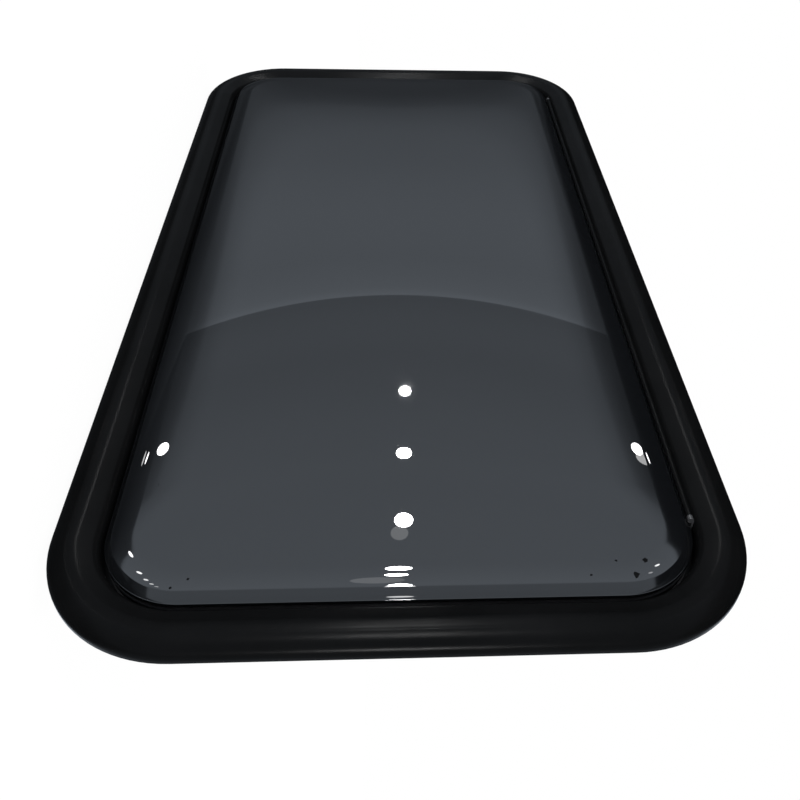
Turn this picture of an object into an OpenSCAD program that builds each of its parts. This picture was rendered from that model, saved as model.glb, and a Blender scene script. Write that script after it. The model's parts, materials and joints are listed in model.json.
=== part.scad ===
// Caravan side window: a top-hung acrylic double pane in a frame that sits in a wall cut-out.
// Build frame: x along the window, y up, z out of the wall, z = 0 on the wall's outer face.
// Sections are drawn as [u, z], where u is the distance outwards from the wall cut-out's edge.

/* [Wall opening] */
// Width of the wall cut-out
cut_w = 900; // [860:10:1200]
// Height of the wall cut-out
cut_h = 450; // [430:10:600]
// Corner radius of the wall cut-out
cut_r = 76; // [70:1:100]

/* [Outer frame] */
// How far the flange covers the wall round the cut-out
flange_w = 22.5; // [20:0.5:30]
// Height of the nose's crest above the wall
nose_h = 16; // [14:0.5:20]
// Distance of the crest outside the cut-out
crest_u = 2; // [0:0.5:6]
// Width of the nose's flat top outside the crest
top_w = 7; // [4:0.5:10]
// Slope of the nose between its crest and its inner edge
nose_slope = 17; // [10:1:20]
// Distance of the frame's inner wall inside the cut-out
reveal = 13.5; // [12.5:0.5:15]
// Gap between the cut-out's edge and the frame's neck
neck_gap = 4; // [2:0.5:5]
// Depth of the neck behind the wall's outer face
neck_l = 28; // [27:1:36]
// Width of the ledge inside the frame's inner wall
ledge_w = 13.5; // [12:0.5:14]
// Thickness of the ledge
ledge_t = 4; // [3:0.5:5]
// Thickness of the gasket under the flange
gasket_t = 2.5; // [1.5:0.5:4]
// Screw holes in the neck's end along each long side
holes_long = 5; // [3:1:7]
// Screw holes in the neck's end along each short side
holes_short = 2; // [1:1:3]

/* [Sash] */
// Gap between the frame's inner wall and the sash
sash_gap = 3; // [2.5:0.5:5]
// Thickness of each acrylic sheet
sheet_t = 3; // [2:0.5:4]
// Thickness of the bond between the two sheets
bond_t = 4; // [2:0.5:6]
// Width of the flat lip round the outer pane
lip_w = 0.5; // [0.5:0.5:3]
// Height of the pane's sloping wall
wall_h = 7.5; // [5:0.5:10]
// Slope of the pane's wall
wall_slope = 58; // [50:1:70]
// Radius of the crease at the wall's top
crease_r = 1.5; // [1:0.5:3]
// Radius of the shoulder that rolls from the crease into the dome
roll_r = 60; // [40:1:80]
// Slope of the shoulder at the crease
roll_slope = 15; // [10:1:20]
// Rise of the dome over the whole pane
dome_h = 9; // [4:0.5:12]

/* [Hinge] */
// Distance of the hinge rail's ends from the corners' curves
rail_in = 6; // [5:1:150]
// Radius of the hinge bead
bead_r = 1.3; // [1.1:0.1:1.5]
// Wall thickness of the socket round the bead
socket_t = 1; // [0.8:0.1:1.2]

/* [Latches] */
// Distance of the outer latches from the corners' curves
latch_in = 114; // [60:1:200]
// Distance of a latch's pivot from the ledge's edge
latch_inset = 20; // [18:1:30]
// Length of a latch handle from its pivot
handle_l = 58; // [45:1:70]
// How far a latch's tongue reaches behind the ledge
tongue_grip = 9; // [6:0.5:10]

/* [Stays] */
// Distance of the stays' frame pivots from the upper corners' curves
stay_top_in = 24; // [22:1:60]
// Distance of the stays' sash pivots from the lower corners' curves
stay_low_in = 44; // [24:1:70]
// Outside radius of a stay's tube
tube_r = 5; // [4.5:0.1:5.5]
// Length of a stay's rod that shows below its tube when closed
rod_out = 65; // [55:1:100]
// Radius of a stay's rod
rod_r = 3.4; // [2.5:0.1:3.6]

/* [Hidden] */
$fn = 48;
half_w = cut_w / 2;
half_h = cut_h / 2;
run_w = cut_w - 2 * cut_r;
run_h = cut_h - 2 * cut_r;
fit = 0.06;
play = 0.3;
over = 1;
hole_end = 0.5;

// Frame section
rim_z = 3;
rim_gap = 0.5;
rim_w = 5;
top_u = crest_u + top_w;
edge_r = 3;
edge_u = edge_r - reveal;
edge_in = crest_u - edge_u + edge_r * sin(nose_slope);
edge_z = nose_h - edge_in * tan(nose_slope) - edge_r * cos(nose_slope);
gasket_in_u = 3;
gasket_out_u = flange_w - rim_w;
ledge_u = -(reveal + ledge_w);
ledge_z = -8;
ledge_back = ledge_z - ledge_t;
neck_end = -neck_l;
joint_gap = 0.2;
neck_mid_u = -(neck_gap + reveal) / 2;
rib_w = 3;
rib_h = 3;
slot_depth = 2.5;
slot_u = slot_depth - reveal;
slot_play = 0.15;
end_hole_r = 1.4;
end_hole_l = 11;

// Sash section
sash_u = -(reveal + sash_gap);
pane_in = -1;
bond_z = pane_in + sheet_t;
lip_z = bond_z + bond_t;
lip_top = lip_z + sheet_t;
lip_edge = 0.4;
shoulder_u = sash_u - lip_w;
wall_end = [shoulder_u - wall_h / tan(wall_slope), wall_h];
wall_shift = sheet_t * (1 - cos(wall_slope)) / sin(wall_slope);
crease_c = wall_end - polar(crease_r, 90 - wall_slope);
roll_c = crease_c - polar(roll_r - crease_r, 90 - roll_slope);
crown_u = roll_c[0];
shoulder_h = roll_c[1] + roll_r;
seal_r = 3;
seal_in = 3.5;
seal_u = sash_u - seal_in;
seal_top = pane_in - play;
seal_base_t = 1.5;
seal_half_w = 3.6;
seal_hollow_r = 1.8;
seal_stem = 2.4;
bond_in = 3;
bond_edge = 0.5;
plug_r = 2.4;
plug_head_r = 4;
plug_head_t = 1.6;
plug_side = 120;
plug_low = 50;
plug_x = half_w - plug_side;
plug_y = -(half_h - plug_low);

// Hinge section
rail_l = run_w - 2 * rail_in;
leaf_t = 1;
leaf_gap = 0.6;
hinge_u = sash_u + leaf_t / 2;
socket_r = bead_r + fit + socket_t;
hinge_lift = 0.9;
hinge_z = lip_top + hinge_lift + socket_r;
hinge_y = half_h + hinge_u;
rail_t = sash_gap - leaf_t - leaf_gap;
rail_foot_z = -5;
rail_screws = 5;
rail_screw_r = 1.4;
rail_screw_l = 7;
rail_screw_z = -2;
rail_head_r = 2.6;
slot_from = 185;
slot_to = 295;
slot_reach = 1.3 * socket_r;
cap_t = 4;
bead_short = 1;
bead_l = rail_l - bead_short;

// Latches
latch_pitch = run_w / 2 - latch_in;
latch_x = [-latch_pitch, 0, latch_pitch];
latch_y = -(half_h + ledge_u) + latch_inset;
latch_names = ["left", "middle", "right"];
foot_t = 4;
foot_w = 44;
foot_h = 26;
foot_r = 5;
boss_r = 10;
boss_h = 4.5;
boss_z = pane_in - foot_t - boss_h;
hub_r = 11.5;
keeper_t = 2.2;
tongue_gap = 0.4;
tongue_z = ledge_back - keeper_t - tongue_gap;
tongue_t = 5;
tongue_w = 13;
hub_lip = 0.6;
hub_z = tongue_z - tongue_t - hub_lip;
handle_t = 7.5;
handle_w = 14;
handle_end_r = 9;
spindle_r = 4;
spindle_out = 0.2;
spindle_end = hub_z - spindle_out;
screw_short = 1;
latch_screw_r = 1.6;
latch_head_r = 5.6;
latch_head_h = 2;
button_r = 4;
button_y = 24;
button_out = 2;
button_depth = 5.5;
tongue_l = latch_inset + tongue_grip;
tongue_tip = tongue_l - tongue_w / 2;
keeper_w = 36;
keeper_gap = 0.5;
keeper_in_u = ledge_u + keeper_gap;
keeper_out_u = -(reveal + keeper_gap);
keeper_mid_u = (keeper_in_u + keeper_out_u) / 2;
keeper_screw_r = 1.1;
keeper_screw_x = 12;
keeper_screw_l = 4.5;
keeper_head_r = 2.1;

// Stays, in the plane of their links
stay_in = 10;
stay_x = half_w + ledge_u - stay_in;
stay_top_y = run_h / 2 - stay_top_in;
stay_low_y = run_h / 2 - stay_low_in;
stay_top_z = -20;
stay_low_z = -11;
stay_rise = stay_low_z - stay_top_z;
stay_drop = stay_top_y + stay_low_y;
stay_l = sqrt(stay_drop * stay_drop + stay_rise * stay_rise);
stay_tilt = atan2(stay_rise, stay_drop);
tube_l = stay_l - rod_out;
eye_half = 4;
eye_r = 6;
rod_eye_r = 5.5;
pin_r = 2.5;
pin_head_r = 4.2;
pin_head_t = 2;
pin_short = 1;
bore_r = rod_r + play;
bore_from = 14;
rod_from = 30;
knob_r = 8;
knob_l = 22;
knob_lobes = 8;
knob_lobe_r = 1.6;
ear_gap = 0.5;
ear_t = 3;
ear_x = stay_x + eye_half + ear_gap + play;
ear_r = 7;
foot_plate_t = 2;
foot_plate_x = half_w - reveal - foot_plate_t;
foot_plate_mid = foot_plate_x + foot_plate_t / 2;
stay_foot_top = ledge_back - play;
stay_foot_w = 40;
stay_foot_screw_y = 15;
stay_foot_screw_r = 1.5;
stay_foot_screw_l = 7;
stay_foot_head_r = 2.7;
stay_foot_head_t = 1.5;
stay_boss_r = 6.5;
flat_half = stay_boss_r + 2 * play;
sash_foot_in = 26;
sash_foot_h = 40;
sash_foot_t = 3;

// Colours
frame_black = "#191a1c";
rubber_black = "#0e0e0f";
tint_grey = "#3d4145";
bond_black = "#101113";
metal_grey = "#b4b7ba";
hardware_black = "#222427";
steel = "#c9cbcd";

// A point at a distance and an angle from the origin
function polar(r, a) = r * [cos(a), sin(a)];

// Points along a stretch of an ellipse
function bow(centre, ru, rz, from, to, steps) =
    [for (i = [0:steps]) let (a = from + (to - from) * i / steps) centre + [ru * cos(a), rz * sin(a)]];

// Evenly spaced places along a run
function along(count, run) = [for (i = [0:count - 1]) run * ((i + 0.5) / count - 0.5)];

// Sweeps a section along the cut-out's four straight runs, each end short by a gap
module sides(gap = 0) for (turn = [0, 180]) rotate(turn) {
    translate([half_w, 0, 0]) rotate([90, 0, 0]) linear_extrude(run_h - 2 * gap, center = true) children();
    rotate(90) translate([half_h, 0, 0]) rotate([90, 0, 0]) linear_extrude(run_w - 2 * gap, center = true)
        children();
}

// Sweeps a section round the cut-out's four corners
module corners() for (turn = [0, 180], s = [-1, 1]) rotate(turn)
    translate([run_w / 2, s * run_h / 2, 0]) rotate(45 * (s - 1)) rotate_extrude(angle = 90)
        translate([cut_r, 0]) children();

// Sweeps a section round the cut-out's outline
module ring() {
    sides() children();
    corners() children();
}

// The cut-out's outline, moved outwards by u
module outline(u) {
    square([cut_w + 2 * u, run_h], center = true);
    square([run_w, cut_h + 2 * u], center = true);
    for (sx = [-1, 1], sy = [-1, 1]) translate([sx * run_w / 2, sy * run_h / 2]) circle(cut_r + u);
}

// Stands the window up, with its outside towards -Y
module upright() rotate([90, 0, 0]) children();

// A flat block with round corners, from z = 0 down
module pad(w, h, t, r) {
    translate([0, 0, -t]) linear_extrude(t) {
        square([w, h - 2 * r], center = true);
        square([w - 2 * r, h], center = true);
        for (sx = [-1, 1], sy = [-1, 1]) translate([sx * (w / 2 - r), sy * (h / 2 - r)]) circle(r);
    }
}

// A cylinder along x, between two distances from the window's middle on one side
module barrel(side, from, to, r) translate([side * (from + to) / 2, 0, 0]) rotate([0, 90, 0])
    cylinder(r = r, h = to - from, center = true);

// A screw with its head's top at z = 0 and its shank towards +z
module pan_screw(r, l, head_r, head_h) {
    cylinder(r = head_r, h = head_h);
    translate([0, 0, head_h]) cylinder(r = r, h = l);
}

// A countersunk screw with its flat head at z = 0 and its shank towards +z
module flush_screw(r, l, head_r) {
    cylinder(r1 = head_r, r2 = r, h = head_r - r);
    cylinder(r = r, h = l);
}

// A rectangle's corners, from one side of a line to the other
function bump(u, w, base, top) = [[u - w / 2, base], [u - w / 2, top], [u + w / 2, top], [u + w / 2, base]];

// Outer frame: a seamless nose that rises to a flat top and slopes in from its crest to a rounded edge,
// with a groove for the rib of the profiles under it
function nose_section() = concat(
    [[flange_w, rim_gap]],
    bow([top_u, rim_z], flange_w - top_u, nose_h - rim_z, 0, 90, 12),
    [[crest_u, nose_h]],
    bow([edge_u, edge_z], edge_r, edge_r, 90 + nose_slope, 180, 6),
    [[-reveal, gasket_t]],
    bump(neck_mid_u, rib_w + 2 * slot_play, gasket_t, gasket_t + rib_h + slot_play),
    [[gasket_out_u, gasket_t], [gasket_out_u, rim_gap]]
);

// Frame profiles: the neck through the wall, with a rib into the nose and a slot for the ledge
function neck_section() = concat(
    [[-neck_gap, neck_end], [-reveal, neck_end], [-reveal, ledge_back - slot_play]],
    [[slot_u, ledge_back - slot_play], [slot_u, ledge_z + slot_play], [-reveal, ledge_z + slot_play]],
    [[-reveal, gasket_t]],
    bump(neck_mid_u, rib_w, gasket_t, gasket_t + rib_h),
    [[-neck_gap, gasket_t]]
);

// Ledge: a flat strip that slides into the profiles' slot and carries the seal
module ledge_section() translate([ledge_u, ledge_back]) square([slot_u - slot_play - ledge_u, ledge_t]);

end_hole_spots = concat(
    [for (x = along(holes_long, run_w), s = [-1, 1]) [x, s * (half_h + neck_mid_u)]],
    [for (y = along(holes_short, run_h), s = [-1, 1]) [s * (half_w + neck_mid_u), y]]
);

module at_end_holes() for (spot = end_hole_spots) translate([spot[0], spot[1], neck_end]) children();

module at_rail_screws()
    for (x = along(rail_screws, rail_l)) translate([x, half_h - reveal - rail_t, rail_screw_z])
        rotate([-90, 0, 0]) children();

module at_keeper_screws()
    for (x = latch_x, s = [-1, 1])
        translate([x + s * keeper_screw_x, -(half_h + keeper_mid_u), ledge_back - keeper_t]) children();

module at_stay_foot_screws()
    for (side = [-1, 1], s = [-1, 1])
        translate([side * foot_plate_x, stay_top_y + s * stay_foot_screw_y, stay_top_z])
            rotate([0, side * 90, 0]) children();

module outer_frame() color(frame_black) ring() polygon(nose_section());

module frame_profiles() color(frame_black) difference() {
    sides(joint_gap) polygon(neck_section());
    at_end_holes() translate([0, 0, -over]) cylinder(r = end_hole_r, h = end_hole_l + over);
    at_rail_screws() cylinder(r = rail_screw_r + fit, h = rail_screw_l + hole_end);
    at_stay_foot_screws() cylinder(r = stay_foot_screw_r + fit, h = stay_foot_screw_l + hole_end);
}

module frame_corners() color(frame_black) corners() polygon(neck_section());

module ledge_strips() color(frame_black) difference() {
    sides(joint_gap) ledge_section();
    at_keeper_screws() cylinder(r = keeper_screw_r + fit, h = keeper_screw_l + hole_end);
}

module ledge_corners() color(frame_black) corners() ledge_section();

module wall_gasket() color(rubber_black) ring() translate([gasket_in_u, 0])
    square([gasket_out_u - gasket_in_u - rim_gap, gasket_t]);

// Sash seal: a hollow bulb on a foot, lying on the ledge
module sash_seal() color(rubber_black) ring() difference() {
    union() {
        translate([seal_u - seal_half_w, ledge_z]) square([2 * seal_half_w, seal_base_t]);
        translate([seal_u, seal_top - seal_r]) circle(seal_r);
        translate([seal_u - seal_stem, ledge_z]) square([2 * seal_stem, seal_top - seal_r - ledge_z]);
    }
    translate([seal_u, seal_top - seal_r]) circle(seal_hollow_r);
}

// Hinge rail: a plate on the frame's inner wall that carries an open socket, flat at its back
rail_back = -(reveal + hinge_u);
module socket_outline() {
    intersection() {
        circle(socket_r);
        translate([rail_back - 2 * socket_r, -socket_r]) square(2 * socket_r);
    }
    translate([rail_back - rail_t, rail_foot_z - hinge_z]) square([rail_t, hinge_z - rail_foot_z]);
}

module at_hinge() translate([0, hinge_y, hinge_z]) rotate([90, 0, 90]) children();

module hinge_rail() color(frame_black) difference() {
    at_hinge() linear_extrude(rail_l, center = true) difference() {
        socket_outline();
        circle(bead_r + fit);
        polygon([[0, 0], for (a = [slot_from, (slot_from + slot_to) / 2, slot_to])
            slot_reach * [cos(a), sin(a)]]);
    }
    at_rail_screws() flush_screw(rail_screw_r + fit, rail_screw_l, rail_head_r + fit);
}

module hinge_rail_screws() color(steel) at_rail_screws()
    flush_screw(rail_screw_r, rail_screw_l, rail_head_r);

module hinge_end_cap(side) color(hardware_black) translate([side * (rail_l + cap_t) / 2, 0, 0])
    at_hinge() linear_extrude(cap_t, center = true) socket_outline();

// Hinge leaf: a strip bonded to the edges of both panes, with a bead along its outer end
module hinge_leaf() color(metal_grey) at_hinge() linear_extrude(bead_l, center = true) {
    circle(bead_r);
    translate([-leaf_t / 2, pane_in - hinge_z]) square([leaf_t, hinge_z - pane_in]);
}

// Outer pane: a lip, a sloping wall, a crease, a rolled shoulder and a shallow dome, as one thin shell
corner_steps = 7;
long_steps = 12;
short_steps = 6;
crease_steps = 4;
roll_steps = 5;
dome_rings = 6;

// Points round the cut-out's outline moved outwards by u
function outline_points(u) = let (r = cut_r + u) [for (k = [0:3]) let (
        sx = k == 0 || k == 3 ? 1 : -1, sy = k < 2 ? 1 : -1,
        centre = [sx * run_w / 2, sy * run_h / 2],
        steps = k % 2 == 0 ? long_steps : short_steps,
        step = k == 0 ? [-run_w, 0] : k == 1 ? [0, -run_h] : k == 2 ? [run_w, 0] : [0, run_h],
        last = centre + r * [cos(90 * k + 90), sin(90 * k + 90)])
    each concat(
        [for (i = [0:corner_steps]) let (a = 90 * (k + i / corner_steps)) centre + r * [cos(a), sin(a)]],
        [for (j = [1:steps - 1]) last + step * j / steps])];

// Rise of the dome over a point inside the lip
function rise_share(along, half) = max(0, 1 - pow(along / half, 2));
function dome_rise(p) =
    dome_h * rise_share(p[0], half_w + shoulder_u) * rise_share(p[1], half_h + shoulder_u);

// A ring of the shell at one point of its section, and one inside it shrunk towards the middle
function section_ring(point, share = 1) =
    [for (q = outline_points(point[0])) let (p = share * q) [p[0], p[1], point[1] + dome_rise(p)]];

// Half of the shell's section, from the wall's foot to just short of the crown
function shoulder_section(z, shift) = [for (p = concat(
        [[shoulder_u, 0]],
        bow(crease_c, crease_r, crease_r, 90 - wall_slope, 90 - roll_slope, crease_steps),
        bow(roll_c, roll_r, roll_r,
            90 - roll_slope * (1 - 1 / roll_steps), 90 - roll_slope / roll_steps, roll_steps - 2)))
    p + [-shift, z]];

function turned_back(list) = [for (i = [len(list) - 1:-1:0]) list[i]];

// The shell's section from the crown's underside round the lip and back up to the crown
function shell_section() = concat(turned_back(shoulder_section(lip_z, wall_shift)),
    [[sash_u, lip_z], [sash_u, lip_top - lip_edge], [sash_u - lip_edge, lip_top]],
    shoulder_section(lip_top, 0)
);

function shell_rings() = concat(
    [for (i = [1:dome_rings]) section_ring([crown_u - wall_shift, lip_z + shoulder_h], i / dome_rings)],
    [for (p = shell_section()) section_ring(p)],
    [for (i = [dome_rings:-1:1]) section_ring([crown_u, lip_top + shoulder_h], i / dome_rings)]
);

module outer_pane() {
    rings = shell_rings();
    count = len(rings[0]);
    last = len(rings) * count;
    middles = [for (z = [lip_z, lip_top]) [0, 0, z + shoulder_h + dome_h]];
    points = concat([for (r = rings) each r], middles);
    skin = [for (k = [0:len(rings) - 2], i = [0:count - 1]) let (
            a = k * count + i, b = k * count + (i + 1) % count)
        each [[a, a + count, b + count], [a, b + count, b]]];
    ends = [for (i = [0:count - 1]) let (j = (i + 1) % count)
        each [[last, i, j], [last + 1, last - count + j, last - count + i]]];
    color(tint_grey) polyhedron(points, concat(skin, ends));
}

// Inner pane: a flat sheet with a hole for each breather plug
module at_breather_plugs() for (s = [-1, 1]) translate([s * plug_x, plug_y, pane_in]) children();

module inner_pane() color(tint_grey) difference() {
    translate([0, 0, pane_in]) linear_extrude(sheet_t) outline(sash_u);
    at_breather_plugs() translate([0, 0, -over]) cylinder(r = plug_r + fit, h = sheet_t + 2 * over);
}

module edge_bond() color(bond_black) ring() translate([shoulder_u - bond_in, bond_z])
    square([lip_w + bond_in - bond_edge, bond_t]);

module breather_plugs() color(rubber_black) at_breather_plugs() {
    translate([0, 0, -plug_head_t]) cylinder(r = plug_head_r, h = plug_head_t);
    cylinder(r = plug_r, h = sheet_t);
}

// Latches, stored released: the handle up and the tongue along the sash
module at_latch(i) translate([latch_x[i], latch_y, 0]) children();

module latch_base(i) color(hardware_black) at_latch(i) difference() {
    union() {
        translate([0, 0, pane_in]) pad(foot_w, foot_h, foot_t, foot_r);
        translate([0, 0, boss_z]) cylinder(r = boss_r, h = pane_in - foot_t - boss_z);
        translate([0, 0, spindle_end]) cylinder(r = spindle_r, h = boss_z - spindle_end);
    }
    translate([0, 0, spindle_end - over])
        cylinder(r = latch_screw_r + fit, h = boss_z - spindle_end + over);
}

module latch_screw(i) color(steel) at_latch(i) translate([0, 0, spindle_end - latch_head_h])
    pan_screw(latch_screw_r, boss_z - spindle_end - screw_short, latch_head_r, latch_head_h);

module latch_lever(i) color(hardware_black) at_latch(i) difference() {
    union() {
        translate([0, 0, hub_z]) cylinder(r = hub_r, h = boss_z - play - hub_z);
        translate([0, 0, tongue_z - tongue_t]) linear_extrude(tongue_t) {
            translate([-tongue_tip, -tongue_w / 2]) square([tongue_tip, tongue_w]);
            translate([-tongue_tip, 0]) circle(tongue_w / 2);
        }
        translate([0, 0, hub_z]) linear_extrude(handle_t) {
            translate([-handle_w / 2, 0]) square([handle_w, handle_l - handle_end_r]);
            translate([0, handle_l - handle_end_r]) circle(handle_end_r);
        }
    }
    translate([0, 0, hub_z - over]) cylinder(r = spindle_r + fit, h = boss_z - hub_z + 2 * over);
    translate([0, button_y, hub_z - over]) cylinder(r = button_r + fit, h = handle_t + 2 * over);
}

module latch_button(i) color(hardware_black) at_latch(i) translate([0, button_y, hub_z - button_out])
    cylinder(r = button_r, h = button_depth);

module keeper(i) color(hardware_black) difference() {
    translate([latch_x[i] - keeper_w / 2, -(half_h + keeper_out_u), ledge_back - keeper_t])
        cube([keeper_w, keeper_out_u - keeper_in_u, keeper_t]);
    at_keeper_screws() flush_screw(keeper_screw_r + fit, keeper_screw_l, keeper_head_r + fit);
}

module keeper_screws() color(steel) at_keeper_screws()
    flush_screw(keeper_screw_r, keeper_screw_l, keeper_head_r);

// Stays: each link is drawn along -y from its frame pivot, then tilted into place
module at_stay() translate([0, stay_top_y, stay_top_z]) rotate([-stay_tilt, 0, 0]) children();

module along_stay(side, from) translate([side * stay_x, -from, 0]) rotate([90, 0, 0]) children();

module stay_foot(side) color(hardware_black) difference() {
    translate([0, stay_top_y, stay_top_z]) {
        translate([side * foot_plate_mid, 0, (neck_end + stay_foot_top) / 2 - stay_top_z])
            cube([foot_plate_t, stay_foot_w, stay_foot_top - neck_end], center = true);
        barrel(side, stay_x + eye_half + ear_gap, foot_plate_x, stay_boss_r);
    }
    translate([0, stay_top_y, stay_top_z])
        barrel(side, stay_x, foot_plate_x, pin_r + fit);
    at_stay_foot_screws() cylinder(r = stay_foot_screw_r + play, h = foot_plate_t + over);
}

module stay_foot_screws() color(steel) at_stay_foot_screws() translate([0, 0, -stay_foot_head_t])
    pan_screw(stay_foot_screw_r, stay_foot_screw_l, stay_foot_head_r, stay_foot_head_t);

module stay_foot_pin(side) color(steel) translate([0, stay_top_y, stay_top_z]) {
    barrel(side, stay_x - eye_half - ear_gap, foot_plate_x - pin_short, pin_r);
    barrel(side, stay_x - eye_half - ear_gap - pin_head_t, stay_x - eye_half - ear_gap, pin_head_r);
}

module stay_tube(side) color(metal_grey) at_stay() difference() {
    union() {
        barrel(side, stay_x - eye_half, stay_x + eye_half, eye_r);
        along_stay(side, 0) cylinder(r = tube_r, h = tube_l);
    }
    barrel(side, stay_x - eye_half - tube_r, stay_x + eye_half + tube_r, pin_r + fit);
    for (s = [-1, 1]) translate([side * stay_x + s * (eye_half + eye_r), 0, 0])
        cube([2 * eye_r, 2 * flat_half, 2 * flat_half], center = true);
    along_stay(side, bore_from) cylinder(r = bore_r, h = tube_l);
}

module stay_knob(side) color(hardware_black) at_stay() along_stay(side, tube_l - knob_l / 2) difference() {
    cylinder(r = knob_r, h = knob_l);
    translate([0, 0, -over]) cylinder(r = tube_r + fit, h = knob_l / 2 + over);
    cylinder(r = bore_r, h = knob_l + over);
    for (i = [0:knob_lobes - 1]) rotate(360 * i / knob_lobes)
        translate([knob_r + knob_lobe_r / 2, 0, -over]) cylinder(r = knob_lobe_r, h = knob_l + 2 * over);
}

module stay_rod(side) color(steel) at_stay() difference() {
    union() {
        along_stay(side, rod_from) cylinder(r = rod_r, h = stay_l - rod_from);
        translate([0, -stay_l, 0]) barrel(side, stay_x - eye_half, stay_x + eye_half, rod_eye_r);
    }
    translate([0, -stay_l, 0]) barrel(side, stay_x - 2 * eye_half, stay_x + 2 * eye_half, pin_r + fit);
}

module stay_rod_pin(side) color(steel) at_stay() translate([0, -stay_l, 0]) {
    barrel(side, stay_x - eye_half, stay_x + eye_half + ear_gap, pin_r);
    barrel(side, stay_x - eye_half - pin_head_t, stay_x - eye_half, pin_head_r);
}

module stay_bracket(side) color(hardware_black) difference() {
    translate([0, -stay_low_y, 0]) {
        translate([side * (ear_x + ear_t - sash_foot_in / 2), 0, pane_in])
            pad(sash_foot_in, sash_foot_h, sash_foot_t, foot_r);
        translate([0, 0, stay_low_z]) barrel(side, ear_x, ear_x + ear_t, ear_r);
        translate([side * (ear_x + ear_t / 2), 0, (stay_low_z + pane_in) / 2])
            cube([ear_t, 2 * ear_r, pane_in - stay_low_z], center = true);
    }
    translate([0, -stay_low_y, stay_low_z]) barrel(side, stay_x, stay_x + 4 * eye_half, pin_r + play);
}

upright() outer_frame();
upright() frame_profiles();
upright() frame_corners();
upright() ledge_strips();
upright() ledge_corners();
upright() wall_gasket();
upright() sash_seal();
upright() hinge_rail();
upright() hinge_rail_screws();
upright() outer_pane();
upright() inner_pane();
upright() edge_bond();
upright() hinge_leaf();
upright() breather_plugs();
upright() keeper_screws();
upright() stay_foot_screws();
for (i = [0:2]) {
    upright() keeper(i);
    upright() latch_base(i);
    upright() latch_screw(i);
    upright() latch_lever(i);
    upright() latch_button(i);
}
for (hand = [["left", -1], ["right", 1]]) {
    upright() hinge_end_cap(hand[1]);
    upright() stay_foot(hand[1]);
    upright() stay_foot_pin(hand[1]);
    upright() stay_bracket(hand[1]);
    upright() stay_tube(hand[1]);
    upright() stay_knob(hand[1]);
    upright() stay_rod(hand[1]);
    upright() stay_rod_pin(hand[1]);
}
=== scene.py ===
"""Caravan side window: finishes, fine shapes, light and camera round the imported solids."""
import json
import math
import random

import bpy
import numpy as np
from mathutils import Matrix, Vector
from mathutils.bvhtree import BVHTree
from mathutils.interpolate import poly_3d_calc


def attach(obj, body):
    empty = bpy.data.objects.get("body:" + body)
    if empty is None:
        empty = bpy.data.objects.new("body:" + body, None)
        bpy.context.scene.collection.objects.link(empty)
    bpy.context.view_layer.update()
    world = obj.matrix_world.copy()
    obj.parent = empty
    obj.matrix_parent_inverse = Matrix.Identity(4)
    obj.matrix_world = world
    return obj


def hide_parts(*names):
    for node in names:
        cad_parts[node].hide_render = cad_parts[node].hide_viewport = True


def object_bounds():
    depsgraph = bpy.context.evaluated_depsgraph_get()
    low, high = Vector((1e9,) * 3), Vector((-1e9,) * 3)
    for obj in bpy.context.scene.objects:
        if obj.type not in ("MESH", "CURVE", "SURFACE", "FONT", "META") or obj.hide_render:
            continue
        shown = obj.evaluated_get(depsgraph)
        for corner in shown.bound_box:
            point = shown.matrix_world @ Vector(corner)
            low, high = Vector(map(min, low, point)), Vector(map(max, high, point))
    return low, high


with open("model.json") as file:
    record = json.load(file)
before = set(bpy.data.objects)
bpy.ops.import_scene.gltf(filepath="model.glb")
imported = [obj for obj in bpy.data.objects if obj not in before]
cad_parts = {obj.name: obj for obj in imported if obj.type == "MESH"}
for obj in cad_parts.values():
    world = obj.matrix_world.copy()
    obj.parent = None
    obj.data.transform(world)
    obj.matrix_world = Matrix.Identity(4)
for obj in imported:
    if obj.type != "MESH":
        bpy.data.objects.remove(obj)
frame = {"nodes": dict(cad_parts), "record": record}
cad_low, cad_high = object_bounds()
nodes = frame["nodes"]

MM = 0.001

# Sizes of the window, in millimetres, as in the solids
CUT_W = 900.0
CUT_H = 450.0
CUT_R = 76.0
FLANGE_W = 22.5
NOSE_H = 16.0
REVEAL = 13.5
NECK_GAP = 4.0
RIM_Z = 3.0
RIM_GAP = 0.5
RIM_W = 5.0
GASKET_T = 2.5
GROOVE_W = 3.3
GROOVE_H = 3.15
SASH_U = -16.5
LIP_Z = 6.0
SHEET_T = 3.0
CREASE_R = 1.5
ROLL_R = 60.0
ROLL_SLOPE = 15.0
DOME_H = 9.0
HALF_W = CUT_W / 2
HALF_H = CUT_H / 2
RUN_W = CUT_W - 2 * CUT_R
RUN_H = CUT_H - 2 * CUT_R

# How finely the swept skins are divided
CORNER_STEPS = 24
LONG_STEPS = 60
SHORT_STEPS = 30

# Edges sharper than this, in degrees, stay sharp
SHARP_ANGLE = 35.0


def outline(u):
    """Points round the wall cut-out's outline, moved outwards by u."""
    r = CUT_R + u
    points = []
    for k in range(4):
        sx = 1 if k in (0, 3) else -1
        sy = 1 if k < 2 else -1
        centre = np.array([sx * RUN_W / 2, sy * RUN_H / 2])
        for i in range(CORNER_STEPS + 1):
            a = math.radians(90 * (k + i / CORNER_STEPS))
            points.append(centre + r * np.array([math.cos(a), math.sin(a)]))
        steps = LONG_STEPS if k % 2 == 0 else SHORT_STEPS
        run = [(-RUN_W, 0), (0, -RUN_H), (RUN_W, 0), (0, RUN_H)][k]
        last = points[-1]
        points += [last + np.array(run) * j / steps for j in range(1, steps)]
    return np.array(points)


def bow(centre, ru, rz, start, end, steps):
    """Points along a stretch of an ellipse in a section's plane."""
    angles = [math.radians(start + (end - start) * i / steps) for i in range(steps + 1)]
    return [(centre[0] + ru * math.cos(a), centre[1] + rz * math.sin(a)) for a in angles]


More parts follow.
